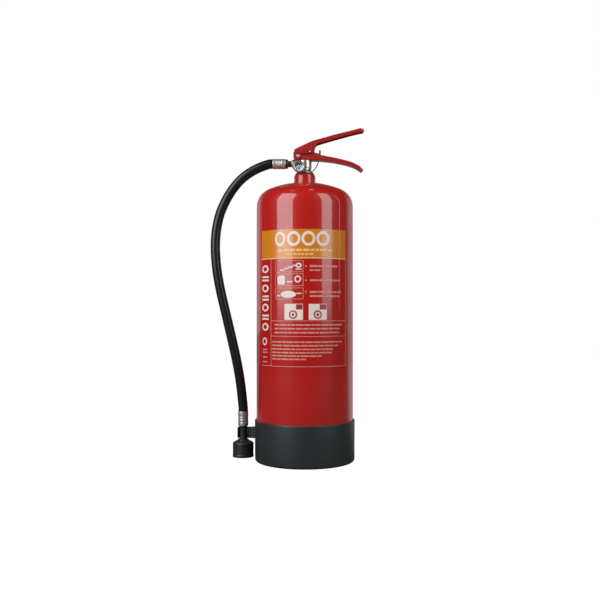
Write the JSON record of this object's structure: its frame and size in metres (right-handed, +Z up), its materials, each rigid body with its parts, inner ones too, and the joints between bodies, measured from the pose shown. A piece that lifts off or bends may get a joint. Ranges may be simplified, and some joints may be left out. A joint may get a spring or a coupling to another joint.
{
  "type": "portable foam fire extinguisher",
  "caption": "Free-standing portable foam fire extinguisher with squeeze-grip valve, pressure gauge, side hose and foam nozzle held in the base foot's cradle.",
  "frame": {"origin": "on the vessel's axis, at the underside of the base foot, which is the floor", "axes": "+Z up along the vessel's axis, +X from the valve towards the tips of the lever and carry handle, -Y towards the labelled front"},
  "size_m": [0.2872, 0.1866, 0.6196],
  "materials": {
    "red_paint": "glossy red powder coat",
    "foot_plastic": "satin moulded plastic",
    "nozzle_plastic": "satin moulded plastic",
    "black_rubber": "matt seal rubber",
    "hose_rubber": "satin hose rubber",
    "nickel": "satin nickel plate",
    "brass": "machined brass",
    "zinc_steel": "zinc plate",
    "spring_steel": "bright drawn wire",
    "white_plastic": "natural polypropylene",
    "dial": "printed white dial",
    "clear_lens": "clear",
    "strap_plastic": "moulded nylon"
  },
  "bodies": {
    "root": {"cylinder_shell": "red_paint", "neck_ring": "red_paint", "neck_seal": "black_rubber", "base_foot": "foot_plastic", "valve_body": "nickel", "handle_clip": "spring_steel", "stem_gland": "brass", "stem_seal": "black_rubber", "valve_spring": "spring_steel", "tube_nut": "white_plastic", "dip_tube": "white_plastic", "tube_strainer": "foot_plastic", "gauge_case": "nickel", "gauge_dial": "dial", "gauge_lens": "clear_lens", "gauge_bezel": "nickel", "carry_handle": "red_paint", "lever_rivet": "zinc_steel", "seal_strap": "strap_plastic"},
    "lever": {"squeeze_lever": "red_paint"},
    "pin": {"safety_pin": "zinc_steel", "pull_ring": "spring_steel"},
    "stem": {"valve_stem": "brass", "seat_disc": "black_rubber"},
    "needle": {"gauge_needle": "nozzle_plastic"},
    "hose_set": {"hose_coupling": "brass", "ferrule_top": "zinc_steel", "hose": "hose_rubber", "ferrule_bottom": "zinc_steel", "nozzle_stem": "nozzle_plastic", "nozzle_horn": "nozzle_plastic"}
  },
  "joints": [
    {"name": "lever_squeeze", "type": "hinge", "parent": "root", "child": "lever", "pos_m": [-0.012, 0, 0.56697], "axis": [0, 1, 0], "range_deg": [0, 9], "stiffness_Nm_per_rad": 1.7, "springref_deg": -17.19},
    {"name": "stem_press", "type": "slide", "parent": "root", "child": "stem", "axis": [0, 0, -1], "range_m": [0, 0.003], "deforming": ["valve_spring"]},
    {"name": "pin_pull", "type": "slide", "parent": "lever", "child": "pin", "axis": [0, 1, 0], "range_m": [0, 0.04]},
    {"name": "needle_turn", "type": "hinge", "parent": "root", "child": "needle", "pos_m": [-0.011, -0.0208, 0.54304], "axis": [0, 1, 0], "range_deg": [-70, 70], "stiffness_Nm_per_rad": 0.001},
    {"name": "hose_swivel", "type": "hinge", "parent": "root", "child": "hose_set", "pos_m": [-0.03, 0, 0.55394], "axis": [-1, 0, 0], "range_deg": [0, 90]}
  ],
  "couplings": [
    {"joint": "stem_press", "follows": "lever_squeeze", "m_per_rad": 0.018}
  ]
}
